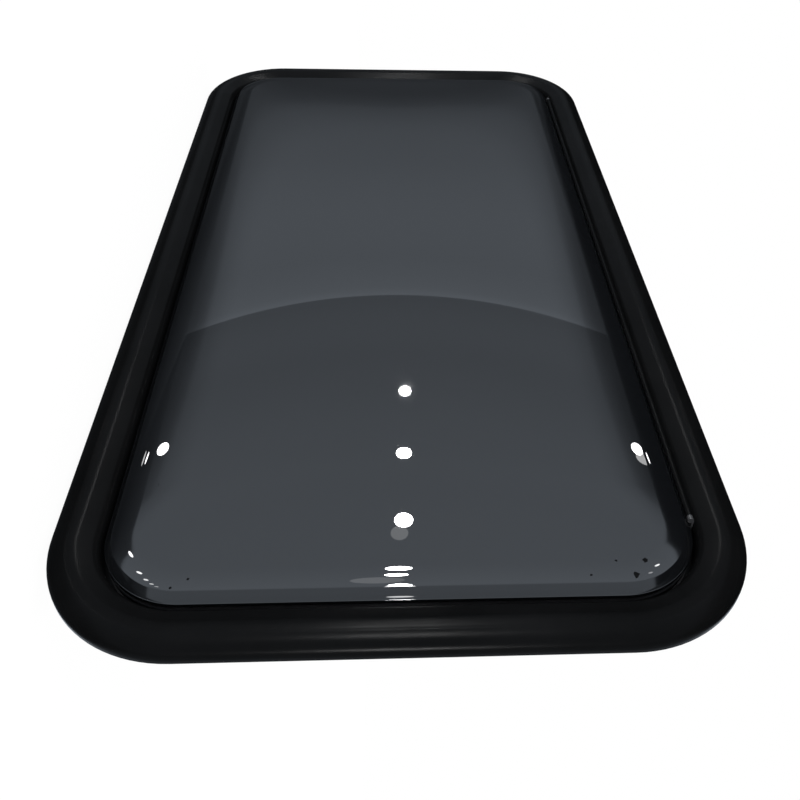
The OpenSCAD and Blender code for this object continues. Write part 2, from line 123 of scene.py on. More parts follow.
def stand(points):
    """Turns points from the build frame, in millimetres, to the row frame, in metres."""
    points = np.asarray(points, float)
    return np.c_[points[:, 0], -points[:, 2], points[:, 1]] * MM


def make_piece(name, points, faces, body, material, replaced=(), sharp=SHARP_ANGLE):
    """A mesh piece that rides on a body and may stand for CAD nodes."""
    mesh = bpy.data.meshes.new(name)
    mesh.from_pydata(stand(points).tolist(), [], faces)
    mesh.validate()
    mesh.update()
    mesh.polygons.foreach_set("use_smooth", [True] * len(mesh.polygons))
    mesh.set_sharp_from_angle(angle=math.radians(sharp))
    piece = bpy.data.objects.new(name, mesh)
    bpy.context.scene.collection.objects.link(piece)
    mesh.materials.append(material)
    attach(piece, body)
    if replaced:
        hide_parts(*replaced)
    return piece


def skin_faces(ring_count, size, closed):
    """Quads between rings of equal size, joined back to the first ring where closed."""
    faces = []
    for k in range(ring_count if closed else ring_count - 1):
        a = k * size
        b = (k + 1) % ring_count * size
        for i in range(size):
            j = (i + 1) % size
            faces.append((a + i, b + i, b + j, a + j))
    return faces


def level_ring(u, z):
    """A ring round the cut-out, all at one height."""
    points = outline(u)
    return np.c_[points, np.full(len(points), z)]


def swept(section):
    """Points and faces of a closed section swept round the cut-out."""
    rings = [level_ring(u, z) for u, z in section]
    points = np.concatenate(rings)
    return points, skin_faces(len(rings), len(rings[0]), True)


# Node materials
EVEN = (1, 1, 1)
NOISE_ROUGHNESS = 0.55
ACRYLIC_IOR = 1.49
DUST_GAIN = 3.0
DUST_LIFT = 0.012
DUST_GREY = (0.11, 0.11, 0.11)
# Places of a Mix node's colour sockets
MIX_COLOURS = (6, 7)
MIX_RESULT = 2


def toned(colour, factor):
    """A colour made lighter or darker."""
    return tuple(c * factor for c in colour)


def set_stops(node, stops):
    """Gives a colour ramp its stops, each a place and a colour."""
    elements = node.color_ramp.elements
    while len(elements) < len(stops):
        elements.new(0.5)
    for element, (place, colour) in zip(elements, stops):
        element.position = place
        element.color = (*colour, 1.0)


class Shader:
    """A material's node tree with a Principled shader, and short ways to add nodes to it."""

    def __init__(self, name, base, roughness, specular=0.5, metallic=0.0):
        self.material = bpy.data.materials.new(name)
        self.material.use_nodes = True
        self.tree = self.material.node_tree
        self.shader = self.tree.nodes["Principled BSDF"]
        self.shader.inputs["Base Color"].default_value = (*base, 1.0)
        self.shader.inputs["Roughness"].default_value = roughness
        self.shader.inputs["Specular IOR Level"].default_value = specular
        self.shader.inputs["Metallic"].default_value = metallic
        self.coords = self.tree.nodes.new("ShaderNodeTexCoord")

    def link(self, source, target):
        self.tree.links.new(source, target)

    def mapped(self, stretch):
        """Object coordinates, stretched along the axes."""
        node = self.tree.nodes.new("ShaderNodeMapping")
        node.inputs["Scale"].default_value = stretch
        self.link(self.coords.outputs["Object"], node.inputs["Vector"])
        return node.outputs["Vector"]

    def noise(self, scale, detail, stretch=EVEN):
        """Cloudy noise, from 0 to 1."""
        node = self.tree.nodes.new("ShaderNodeTexNoise")
        node.inputs["Scale"].default_value = scale
        node.inputs["Detail"].default_value = detail
        node.inputs["Roughness"].default_value = NOISE_ROUGHNESS
        self.link(self.mapped(stretch), node.inputs["Vector"])
        return node.outputs["Fac"]

    def cells(self, scale):
        """Distance to the nearest of a scatter of points."""
        node = self.tree.nodes.new("ShaderNodeTexVoronoi")
        node.inputs["Scale"].default_value = scale
        self.link(self.mapped(EVEN), node.inputs["Vector"])
        return node.outputs["Distance"]

    def ramp(self, source, stops):
        """A colour ramp over a value."""
        node = self.tree.nodes.new("ShaderNodeValToRGB")
        set_stops(node, stops)
        self.link(source, node.inputs["Fac"])
        return node.outputs["Color"]

    def spread(self, source, low, high, start=0.0, end=1.0):
        """Maps a value from one range to another."""
        node = self.tree.nodes.new("ShaderNodeMapRange")
        node.inputs["From Min"].default_value = start
        node.inputs["From Max"].default_value = end
        node.inputs["To Min"].default_value = low
        node.inputs["To Max"].default_value = high
        self.link(source, node.inputs["Value"])
        return node.outputs["Result"]

    def math(self, operation, a, b):
        """Two values put together; either may be a socket or a plain number."""
        node = self.tree.nodes.new("ShaderNodeMath")
        node.operation = operation
        for socket, value in zip(node.inputs, (a, b)):
            if isinstance(value, (int, float)):
                socket.default_value = value
            else:
                self.link(value, socket)
        return node.outputs["Value"]

    def blend(self, share, first, second):
        """Mixes two colours by a share; either may be a socket or a plain colour."""
        node = self.tree.nodes.new("ShaderNodeMix")
        node.data_type = "RGBA"
        self.link(share, node.inputs["Factor"])
        for place, value in zip(MIX_COLOURS, (first, second)):
            socket = node.inputs[place]
            if isinstance(value, tuple):
                socket.default_value = (*value, 1.0)
            else:
                self.link(value, socket)
        return node.outputs[MIX_RESULT]

    def bump(self, height, strength, distance):
        """Gives the surface relief."""
        node = self.tree.nodes.new("ShaderNodeBump")
        node.inputs["Strength"].default_value = strength
        node.inputs["Distance"].default_value = distance
        self.link(height, node.inputs["Height"])
        self.link(node.outputs["Normal"], self.shader.inputs["Normal"])

    def set(self, name, source):
        """Drives one of the shader's own sockets."""
        self.link(source, self.shader.inputs[name])


def moulded_plastic(name, dark, light, roughness, specular, grain):
    """Moulded black plastic: fine grain, cloudy sheen and a little settled dust."""
    s = Shader(name, light, roughness, specular)
    dust = s.spread(s.cells(scale=900.0), low=1.0, high=0.0, start=0.04, end=0.12)
    patch = s.spread(s.noise(scale=22.0, detail=2.0), low=0.0, high=0.5, start=0.52, end=0.72)
    tone = s.ramp(s.noise(scale=14.0, detail=4.0), [(0.3, dark), (0.7, light)])
    dusty = tuple(c * DUST_GAIN + DUST_LIFT for c in light)
    s.set("Base Color", s.blend(s.math("MULTIPLY", dust, patch), tone, dusty))
    sheen = s.noise(scale=45.0, detail=3.0)
    s.set("Roughness", s.spread(sheen, low=roughness - 0.05, high=roughness + 0.07))
    s.bump(s.noise(scale=grain, detail=2.0), strength=0.12, distance=0.0002)
    return s.material


def rubber(name, base):
    """Extruded rubber: matt, fine-grained, with bloom in patches."""
    s = Shader(name, base, roughness=0.7, specular=0.3)
    bloom = s.noise(scale=30.0, detail=4.0)
    s.set("Base Color", s.ramp(bloom, [(0.35, base), (0.75, toned(base, 2.2))]))
    s.set("Roughness", s.spread(bloom, low=0.6, high=0.82))
    s.bump(s.noise(scale=1600.0, detail=2.0), strength=0.15, distance=0.0002)
    return s.material


def acrylic(name, tint, roughness):
    """Polished tinted acrylic: near-black body, fine hairlines, dust and a few smudges."""
    s = Shader(name, tint, roughness)
    s.shader.inputs["IOR"].default_value = ACRYLIC_IOR
    dust = s.spread(s.cells(scale=420.0), low=1.0, high=0.0, start=0.03, end=0.07)
    patch = s.spread(s.noise(scale=9.0, detail=2.0), low=0.0, high=0.7, start=0.55, end=0.75)
    cloud = s.noise(scale=3.5, detail=2.0)
    body = s.ramp(cloud, [(0.3, toned(tint, 0.9)), (0.7, toned(tint, 1.1))])
    s.set("Base Color", s.blend(s.math("MULTIPLY", dust, patch), body, DUST_GREY))
    smudge = s.spread(s.noise(scale=7.0, detail=5.0), low=0.0, high=0.012, start=0.5, end=0.75)
    lines = s.noise(scale=60.0, detail=2.0, stretch=(1, 1, 18))
    hair = s.spread(lines, low=0.0, high=0.012, start=0.62, end=0.7)
    s.set("Roughness", s.math("ADD", s.math("ADD", smudge, hair), roughness))
    return s.material


def satin_metal(name, base, roughness, lines, stretch):
    """Drawn or plated metal: fine lines along the draw and a cloudy film."""
    s = Shader(name, base, roughness, metallic=1.0)
    grain = s.noise(scale=lines, detail=2.0, stretch=stretch)
    film = s.noise(scale=40.0, detail=3.0)
    s.set("Base Color", s.ramp(film, [(0.3, toned(base, 0.78)), (0.65, base)]))
    s.set("Roughness", s.spread(grain, low=roughness - 0.08, high=roughness + 0.12))
    s.bump(grain, strength=0.06, distance=0.0001)
    return s.material


def adhesive(name, base):
    """Cured bonding bead: dull, slightly lumpy."""
    s = Shader(name, base, roughness=0.5, specular=0.35)
    lumps = s.noise(scale=160.0, detail=3.0)
    s.set("Base Color", s.ramp(lumps, [(0.3, base), (0.8, toned(base, 1.8))]))
    s.bump(lumps, strength=0.3, distance=0.0004)
    return s.material


MATERIALS = {
    "frame_moulding": moulded_plastic(
        "frame_moulding_look", dark=(0.0017, 0.0018, 0.0019), light=(0.0026, 0.0027, 0.0029),
        roughness=0.21, specular=0.022, grain=2600.0),
    "seal_rubber": rubber("seal_rubber_look", base=(0.010, 0.010, 0.011)),
    "tinted_acrylic": acrylic("tinted_acrylic_look", tint=(0.0025, 0.0028, 0.0033), roughness=0.008),
    "bond_adhesive": adhesive("bond_adhesive_look", base=(0.008, 0.008, 0.009)),
    "leaf_metal": satin_metal(
        "leaf_metal_look", base=(0.60, 0.61, 0.62), roughness=0.34, lines=900.0, stretch=(0.02, 1, 1)),
    "hardware_plastic": moulded_plastic(
        "hardware_plastic_look", dark=(0.016, 0.0165, 0.018), light=(0.024, 0.0245, 0.026),
        roughness=0.42, specular=0.35, grain=1900.0),
    "fixing_steel": satin_metal(
        "fixing_steel_look", base=(0.62, 0.63, 0.64), roughness=0.28, lines=1400.0, stretch=EVEN),
}

# Finishes of the solids, and the width of their eased edges in metres
EDGE_EASE = {"frame_moulding": 0.0004, "hardware_plastic": 0.0007, "fixing_steel": 0.0003,
             "leaf_metal": 0.0003, "tinted_acrylic": 0.0005, "seal_rubber": 0.0003}
EASE_ANGLE = 40
EASE_STEPS = 3


def finish_solids():
    """Gives every solid its look and, where its finish asks for it, eased edges."""
    for part in frame["record"]["subparts"]:
        solid = nodes[part["node"]]
        slot = part["material_slot"]
        solid.data.materials.clear()
        solid.data.materials.append(MATERIALS[slot])
        if slot in EDGE_EASE:
            ease = solid.modifiers.new("eased_edges", "BEVEL")
            ease.width = EDGE_EASE[slot]
            ease.segments = EASE_STEPS
            ease.limit_method = "ANGLE"
            ease.angle_limit = math.radians(EASE_ANGLE)
            ease.harden_normals = False


finish_solids()

# The frame's nose, finer than the solid and with an eased crest and rim
CREST_R = 17.0
CREST_TOP_U = 6.2
CREST_FLAT = 1.3
SHOULDER_R = 11.0
SHOULDER_TILT = 20.0
INNER_SLOPE = 22.0
NOSE_EDGE_R = 8.0
RIM_EASE = 0.4
FLANK_STEPS = 24
SHOULDER_STEPS = 10
CREST_STEPS = 12
INNER_STEPS = 16


def flank(top):
    """The ellipse that meets the shoulder's slope at its top and stands upright on the outer rim."""
    rise = top[1] - RIM_Z
    reach = FLANGE_W - top[0]
    share = math.tan(math.radians(SHOULDER_TILT)) * reach / rise
    turn = math.acos(share / (1 - share))
    across = reach / (1 - math.cos(turn))
    height = rise / math.sin(turn)
    return bow((FLANGE_W - across, RIM_Z), across, height, 0, math.degrees(turn), FLANK_STEPS)[:-1]


def nose_section():
    """The frame's nose, from its outer rim over the flat top and crest and down the inner wall."""
    slope = math.radians(INNER_SLOPE)
    top_u = CREST_TOP_U + CREST_FLAT
    crest = bow((CREST_TOP_U, NOSE_H - CREST_R), CREST_R, CREST_R, 90, 90 + INNER_SLOPE, CREST_STEPS)
    edge_u = NOSE_EDGE_R - REVEAL
    run = crest[-1][0] - edge_u + NOSE_EDGE_R * math.sin(slope)
    edge_z = crest[-1][1] - run * math.tan(slope) - NOSE_EDGE_R * math.cos(slope)
    inner = bow((edge_u, edge_z), NOSE_EDGE_R, NOSE_EDGE_R, 90 + INNER_SLOPE, 180, INNER_STEPS)
    shoulder = bow((top_u, NOSE_H - SHOULDER_R), SHOULDER_R, SHOULDER_R, 90 - SHOULDER_TILT, 90,
                   SHOULDER_STEPS)
    mid_u = -(NECK_GAP + REVEAL) / 2
    groove = [(mid_u - GROOVE_W / 2, GASKET_T), (mid_u - GROOVE_W / 2, GASKET_T + GROOVE_H),
              (mid_u + GROOVE_W / 2, GASKET_T + GROOVE_H), (mid_u + GROOVE_W / 2, GASKET_T)]
    return ([(FLANGE_W - RIM_EASE, RIM_GAP), (FLANGE_W, RIM_GAP + RIM_EASE)]
            + flank(shoulder[0]) + shoulder + crest + inner + [(-REVEAL, GASKET_T)] + groove
            + [(FLANGE_W - RIM_W, GASKET_T), (FLANGE_W - RIM_W, RIM_GAP)])


points, faces = swept(nose_section())
make_piece("frame_nose", points, faces, "frame", MATERIALS["frame_moulding"],
           ("outer_frame",))

# The outer pane as one smooth shell, with a lower and flatter wall than the solid's
LIP_W = 0.4
LIP_EDGE = 0.4
LIP_TOP = LIP_Z + SHEET_T
WALL_H = 6.4
WALL_SLOPE = 52.0
SHOULDER_U = SASH_U - LIP_W
PANE_SHARP = 30.0
DOME_RINGS = 30
CREASE_STEPS = 8
ROLL_STEPS = 14
LIP_STEPS = 4


def polar(r, degrees):
    """A step of length r in a section's plane."""
    a = math.radians(degrees)
    return np.array([r * math.cos(a), r * math.sin(a)])


WALL_END = np.array([SHOULDER_U - WALL_H / math.tan(math.radians(WALL_SLOPE)), WALL_H])
CREASE_C = WALL_END - polar(CREASE_R, 90 - WALL_SLOPE)
ROLL_C = CREASE_C - polar(ROLL_R - CREASE_R, 90 - ROLL_SLOPE)
CROWN_U = ROLL_C[0]
SHOULDER_H = ROLL_C[1] + ROLL_R
WALL_SHIFT = SHEET_T * math.tan(math.radians(WALL_SLOPE) / 2)


def dome_rise(points):
    """Rise of the dome over points inside the lip."""
    across = np.maximum(0, 1 - (points[:, 0] / (HALF_W + SHOULDER_U)) ** 2)
    up = np.maximum(0, 1 - (points[:, 1] / (HALF_H + SHOULDER_U)) ** 2)
    return DOME_H * across * up


def section_ring(u, z, share=1.0):
    """A ring of the shell, drawn in towards the middle by a share and lifted by the dome."""
    points = outline(u) * share
    return np.c_[points, z + dome_rise(points)]


def shoulder_section(z, shift):
    """Half of the shell's section, from the wall's foot to just short of the crown."""
    crease = bow(CREASE_C, CREASE_R, CREASE_R, 90 - WALL_SLOPE, 90 - ROLL_SLOPE, CREASE_STEPS)
    roll = bow(ROLL_C, ROLL_R, ROLL_R, 90 - ROLL_SLOPE, 90, ROLL_STEPS)[1:-1]
    return [(u - shift, z + h) for u, h in [(SHOULDER_U, 0.0)] + crease + roll]


def pane_rings():
    """The shell's rings, from the middle of its underside round the lip to the middle on top."""
    shares = [math.sin(math.pi / 2 * i / DOME_RINGS) for i in range(1, DOME_RINGS + 1)]
    edge = bow((SASH_U - LIP_EDGE, LIP_TOP - LIP_EDGE), LIP_EDGE, LIP_EDGE, 0, 90, LIP_STEPS)
    section = (shoulder_section(LIP_Z, WALL_SHIFT)[::-1] + [(SASH_U, LIP_Z)] + edge
               + shoulder_section(LIP_TOP, 0))
    return ([section_ring(CROWN_U - WALL_SHIFT, LIP_Z + SHOULDER_H, s) for s in shares]
            + [section_ring(u, z) for u, z in section]
            + [section_ring(CROWN_U, LIP_TOP + SHOULDER_H, s) for s in reversed(shares)])


def make_pane():
    """The shell, closed by a fan of faces in the middle of each side."""
    rings = pane_rings()
    size = len(rings[0])
    middles = [[0, 0, z + SHOULDER_H + DOME_H] for z in (LIP_Z, LIP_TOP)]
    points = np.concatenate(rings + [np.array(middles)])
    faces = skin_faces(len(rings), size, False)
    last = len(rings) * size
    for i in range(size):
        j = (i + 1) % size
        faces.append((last, i, j))
        faces.append((last + 1, last - size + j, last - size + i))
    return make_piece("pane_shell", points, faces, "sash",
                      MATERIALS["tinted_acrylic"], ("outer_pane",), PANE_SHARP)


pane_mesh = make_pane().data

# Screws with a cross recess and grips on the latch levers, in millimetres
HEAD_RINGS = 20
HEAD_TURNS = 48
RECESS_WALL = 0.25
LATCH_X = {"left": -260.0, "middle": 0.0, "right": 260.0}
LATCH_Y = -178.0
LEVER_FACE = -20.2
LATCH_HEAD = -20.4
KEEPER_FACE = -14.2
KEEPER_Y = -204.75
KEEPER_SCREW_X = 12.0
FOOT_PLATE_X = 434.5
STAY_TOP_Y = 125.0
STAY_TOP_Z = -20.0
FOOT_SCREW_Y = 15.0
GRIP_FROM = 35.0
GRIP_STEP = 4.0
GRIP_RIBS = 5
GRIP_L = 11.0
GRIP_W = 1.9
GRIP_H = 0.8
GRIP_SINK = 0.15
GRIP_STEPS = 16
GRIP_TURNS = 8
INWARDS = (0, 0, -1)
PAN_SCREW = {"radius": 5.6, "rise": 2.0, "recess": 3.0, "arm": 0.75, "depth": 1.3,
             "below": [(5.6, -0.05), (1.6, -0.05), (1.6, -8.0)]}
FLUSH_SCREW = {"radius": 2.1, "rise": 0.12, "recess": 1.4, "arm": 0.4, "depth": 0.8,
               "below": [(1.1, -1.0), (1.1, -4.4)]}
SMALL_SCREW = {"radius": 2.7, "rise": 1.5, "recess": 1.7, "arm": 0.45, "depth": 0.9,
               "below": [(2.7, -0.02), (1.5, -0.02), (1.5, -7.0)]}


def cross_screw(radius, rise, recess, arm, depth, below):
    """Points and faces of a screw along +z: a head with a cross recess, then its stepped underside."""
    points = [(0.0, 0.0, rise - depth)]
    for k in range(1, HEAD_RINGS + 1):
        r = radius * math.sin(math.pi / 2 * k / HEAD_RINGS)
        for i in range(HEAD_TURNS):
            a = 2 * math.pi * i / HEAD_TURNS
            x, y = r * math.cos(a), r * math.sin(a)
            inside = max(min(arm - abs(x), recess - abs(y)), min(arm - abs(y), recess - abs(x)))
            lowered = depth * min(1.0, max(0.0, inside / RECESS_WALL))
            points.append((x, y, rise * math.sqrt(max(0.0, 1 - (r / radius) ** 4)) - lowered))
    for r, z in below:
        for i in range(HEAD_TURNS):
            a = 2 * math.pi * i / HEAD_TURNS
            points.append((r * math.cos(a), r * math.sin(a), z))
    faces = []
    for i in range(HEAD_TURNS):
        faces.append((0, 1 + i, 1 + (i + 1) % HEAD_TURNS))
    rings = HEAD_RINGS + len(below)
    for a, b, c, d in skin_faces(rings, HEAD_TURNS, False):
        faces.append((1 + a, 1 + b, 1 + c, 1 + d))
    first = 1 + (rings - 1) * HEAD_TURNS
    faces.append(tuple(range(first + HEAD_TURNS - 1, first - 1, -1)))
    return np.array(points), faces


def grip_rib(y):
    """Points and faces of a half-round rib along x with rounded ends, sunk a little below z = 0."""
    points = []
    for i in range(GRIP_STEPS + 1):
        s = -math.cos(math.pi * (i + 0.5) / (GRIP_STEPS + 1))
        full = math.sqrt(1 - s ** 4)
        for j in range(GRIP_TURNS + 1):
            a = math.pi * j / GRIP_TURNS
            points.append((GRIP_L / 2 * s, y - GRIP_W / 2 * full * math.cos(a),
                           GRIP_H * full * math.sin(a) - GRIP_SINK))
    size = GRIP_TURNS + 1
    faces = [(a, d, c, b) for a, b, c, d in skin_faces(GRIP_STEPS + 1, size, False)]
    faces.append(tuple(range(size)))
    faces.append(tuple(range(len(points) - 1, len(points) - size - 1, -1)))
    return np.array(points), faces


def placed(shapes, spots):
    """Joins shapes that stand on spots, each a place and the direction its +z points to."""
    points, faces = [], []
    for (shape, own), (spot, out) in zip(shapes, spots):
        out = Vector(out)
        across = Vector((0, 1, 0)) if out.x else Vector((-1, 0, 0))
        turn = np.array([across, out.cross(across), out])
        start = sum(len(p) for p in points)
        points.append(shape @ turn + np.array(spot))
        faces += [tuple(start + v for v in face) for face in own]
    return np.concatenate(points), faces


def make_screws(name, body, screw, spots, replaced):
    """Screws of one kind on their spots, as one piece that stands for a CAD node."""
    points, faces = placed([cross_screw(**screw)] * len(spots), spots)
    make_piece(name, points, faces, body, MATERIALS["fixing_steel"], (replaced,))


def make_fixings():
    """The screws of the latches, the keepers and the stays' feet."""
    for name, x in LATCH_X.items():
        spot = ((x, LATCH_Y, LATCH_HEAD), INWARDS)
        make_screws(f"latch_screw_head_{name}", "sash", PAN_SCREW, [spot], f"latch_screw_{name}")
    spots = [((x + s * KEEPER_SCREW_X, KEEPER_Y, KEEPER_FACE), INWARDS)
             for x in LATCH_X.values() for s in (-1, 1)]
    make_screws("keeper_screw_heads", "frame", FLUSH_SCREW, spots, "keeper_screws")
    spots = [((side * FOOT_PLATE_X, STAY_TOP_Y + s * FOOT_SCREW_Y, STAY_TOP_Z), (-side, 0, 0))
             for side in (-1, 1) for s in (-1, 1)]
    make_screws("stay_foot_screw_heads", "frame", SMALL_SCREW, spots, "stay_foot_screws")


def make_grips():
    """A row of ribs on each latch lever."""
    for name, x in LATCH_X.items():
        ribs = [grip_rib(GRIP_FROM + GRIP_STEP * i) for i in range(GRIP_RIBS)]
        points, faces = placed(ribs, [((x, LATCH_Y, LEVER_FACE), INWARDS)] * GRIP_RIBS)
        make_piece(f"lever_grip_{name}", points, faces, f"latch_lever_{name}",
                   MATERIALS["hardware_plastic"])


make_fixings()
make_grips()

# Camera, fitted to the frame's outline in the picture
IMAGE_SIDE = 800.0
SENSOR = 36.0
FOCAL_PX = 886.87
OPTICAL_SHIFT_PX = 37.09
EYE = Vector((0.78596, -0.50099, -0.01063))
PITCH = math.radians(41.62)
YAW = math.radians(4.27)
ROLL = math.radians(2.38)


def lay_to_row(v):
    """Turns a direction or a point from the lying frame of the picture to the row frame."""
    return Vector((-v[1], -v[2], v[0]))


def make_camera():
    """Places the camera, and returns its turn."""
    data = bpy.data.cameras.new("photo_camera")
    data.sensor_width = SENSOR
    data.lens = FOCAL_PX * SENSOR / IMAGE_SIDE
    data.shift_x = -OPTICAL_SHIFT_PX / IMAGE_SIDE
    camera = bpy.data.objects.new("photo_camera", data)
    bpy.context.scene.collection.objects.link(camera)
    forward = Vector((math.sin(YAW) * math.cos(PITCH), math.cos(YAW) * math.cos(PITCH),
                      -math.sin(PITCH)))
    level = Vector((math.cos(YAW), -math.sin(YAW), 0.0))
    rise = level.cross(forward)
    right = math.cos(ROLL) * level + math.sin(ROLL) * rise
    up = math.cos(ROLL) * rise - math.sin(ROLL) * level
    columns = [lay_to_row(right), lay_to_row(up), -lay_to_row(forward)]
    turn = Matrix(columns).transposed()
    camera.matrix_world = Matrix.Translation(EYE) @ turn.to_4x4()
    bpy.context.scene.camera = camera
    return turn


camera_turn = make_camera()
pane_skin = BVHTree.FromPolygons([v.co for v in pane_mesh.vertices],
                                 [f.vertices for f in pane_mesh.polygons])


def pane_spot(pixel):
    """Where a pixel of the picture falls on the pane, with the normal there and the view's direction."""
    across = (pixel[0] - IMAGE_SIDE / 2 - OPTICAL_SHIFT_PX) / FOCAL_PX
    rise = (IMAGE_SIDE / 2 - pixel[1]) / FOCAL_PX
    view = (camera_turn @ Vector((across, rise, -1.0))).normalized()
    point, _, index, _ = pane_skin.ray_cast(EYE, view)
    corners = [pane_mesh.vertices[c] for c in pane_mesh.polygons[index].vertices]
    shares = poly_3d_calc([c.co for c in corners], point)
    normal = sum((c.normal * share for c, share in zip(corners, shares)), Vector())
    return point, normal.normalized(), view


# Specks of dirt on the pane: where each shows in the picture, and its radius in millimetres
SPECKS = {
    "right_a": ((645.3, 560.0), 2.4),
    "right_b": ((636.7, 575.0), 2.4),
    "right_c": ((616.0, 560.6), 1.0),
    "right_d": ((591.3, 575.0), 1.0),
    "left_a": ((188.0, 579.0), 1.0),
    "left_b": ((170.2, 588.0), 1.0),
    "left_c": ((158.7, 484.9), 0.5),
    "middle": ((358.0, 392.0), 0.6)}
SPECK_SIDES = 11
SPECK_RISE = 0.12
SPECK_SINK = 0.04
SPECK_RAGGED = (0.6, 1.2)
SPECK_SEED = 7


def make_specks():
    """Ragged flakes that lie on the pane, as one piece."""
    draw = random.Random(SPECK_SEED)
    points, faces = [], []
    for pixel, radius in SPECKS.values():
        point, normal, _ = pane_spot(pixel)
        across = normal.orthogonal().normalized()
        along = normal.cross(across)
        first = len(points)
        flake = [point + normal * SPECK_RISE * MM]
        for i in range(SPECK_SIDES):
            a = 2 * math.pi * i / SPECK_SIDES
            r = radius * draw.uniform(*SPECK_RAGGED) * MM
            flake.append(point + across * r * math.cos(a) + along * r * math.sin(a)
                         - normal * SPECK_SINK * MM)
        points += [(p.x / MM, p.z / MM, -p.y / MM) for p in flake]
        ring = [first + 1 + i for i in range(SPECK_SIDES)]
        faces += [(first, ring[i], ring[(i + 1) % SPECK_SIDES]) for i in range(SPECK_SIDES)]
        faces.append(tuple(reversed(ring)))
    make_piece("pane_specks", np.array(points), faces, "sash",
               MATERIALS["frame_moulding"])


make_specks()

# Floor under the window's lower edge
FLOOR_SIDE = 14.0
FLOOR_GAP = 0.001
FLOOR_TONE = (0.86, 0.86, 0.86, 1.0)
FLOOR_ROUGHNESS = 0.9
SHADOW_SHARE = 0.10
FLOOR_WHITE = 1.04


def make_floor():
    """A plain floor that looks white and keeps a part of the object's shadow."""
    half = FLOOR_SIDE / 2
    z = cad_low.z - FLOOR_GAP
    mesh = bpy.data.meshes.new("floor")
    corners = [(-half, -half, z), (half, -half, z), (half, half, z), (-half, half, z)]
    mesh.from_pydata(corners, [], [(0, 1, 2, 3)])
    floor = bpy.data.objects.new("floor", mesh)
    bpy.context.scene.collection.objects.link(floor)
    material = bpy.data.materials.new("floor_look")
    material.use_nodes = True
    tree = material.node_tree
    shader = tree.nodes["Principled BSDF"]
    shader.inputs["Base Color"].default_value = FLOOR_TONE
    shader.inputs["Roughness"].default_value = FLOOR_ROUGHNESS
    shader.inputs["Specular IOR Level"].default_value = 0.0
    white = tree.nodes.new("ShaderNodeEmission")
    white.inputs["Strength"].default_value = FLOOR_WHITE
    path = tree.nodes.new("ShaderNodeLightPath")
    share = tree.nodes.new("ShaderNodeMath")
    share.operation = "MULTIPLY"
    share.inputs[1].default_value = 1 - SHADOW_SHARE
    seen = tree.nodes.new("ShaderNodeMath")
    seen.operation = "MAXIMUM"
    mixed = tree.nodes.new("ShaderNodeMixShader")
    tree.links.new(path.outputs["Is Camera Ray"], seen.inputs[0])
    tree.links.new(path.outputs["Is Transmission Ray"], seen.inputs[1])
    tree.links.new(seen.outputs[0], share.inputs[0])
    tree.links.new(share.outputs[0], mixed.inputs[0])
    tree.links.new(shader.outputs[0], mixed.inputs[1])
    tree.links.new(white.outputs[0], mixed.inputs[2])
    tree.links.new(mixed.outputs[0], tree.nodes["Material Output"].inputs["Surface"])
    mesh.materials.append(material)
    floor.visible_glossy = False


make_floor()

# Light: a studio with a far wall and a ceiling, whose levels go by the angle in degrees up from the far end
FAR_LEVELS = [(0, 0.70), (17.5, 0.60), (19, 0.45), (19.7, 0.37), (20.5, 0.34), (22.8, 0.41), (25, 0.49),
              (27, 0.59), (29, 0.68), (31, 0.75), (33, 0.80), (34.5, 0.90), (35.5, 1.0), (36.1, 1.2),
              (40, 1.2)]
NEAR_LEVELS = [(0, 0.60), (36.3, 0.60), (37.5, 0.68), (39, 0.74), (41, 0.76), (43, 0.85), (46, 1.0),
               (47.7, 1.06), (49.3, 1.13), (51.3, 1.16), (53, 1.21), (55, 1.25), (86, 1.65), (100, 1.5),
               (132, 1.1), (171, 1.0), (180, 0.3)]
CEILING_START = 36.1
# How the ceiling dims at its sides, by the share of its half width, and how wide it is at an angle
EDGE_LEVELS = [(0, 1), (0.86, 1), (0.90, 0.94), (0.94, 0.82), (0.965, 0.73), (0.985, 0.52), (1.0, 0.42),
               (1.03, 0.29), (1.05, 0.24), (1.126, 0.19), (1.4, 0.14), (2, 0.085), (2.3, 0.045),
               (2.6, 0.03), (3, 0.12)]
RIGHT_LEVELS = [(0, 1), (1.12, 1), (1.25, 0.4), (1.4, 0.14), (2, 0.05), (3, 0.05)]
WIDTH_LEVELS = [(0, 0.25), (48, 0.25), (54, 0.32), (60, 0.50), (75, 0.80), (90, 1), (180, 1)]
WIDTH_FULL = 4.0
STUDIO_TINT = (0.95, 1.06, 1.20, 1.0)
FAR_SPAN = 40.0
NEAR_SPAN = 180.0
SIDE_SPAN = 3.0
EDGE_OUT = 0.239
EDGE_FAR = 0.189
FAR_END = 2.82
LEFT_CORNER = (1.05, 2.6)
RIGHT_CORNER = (1.12, 2.8)
DIFFUSE_LEVEL = 0.85


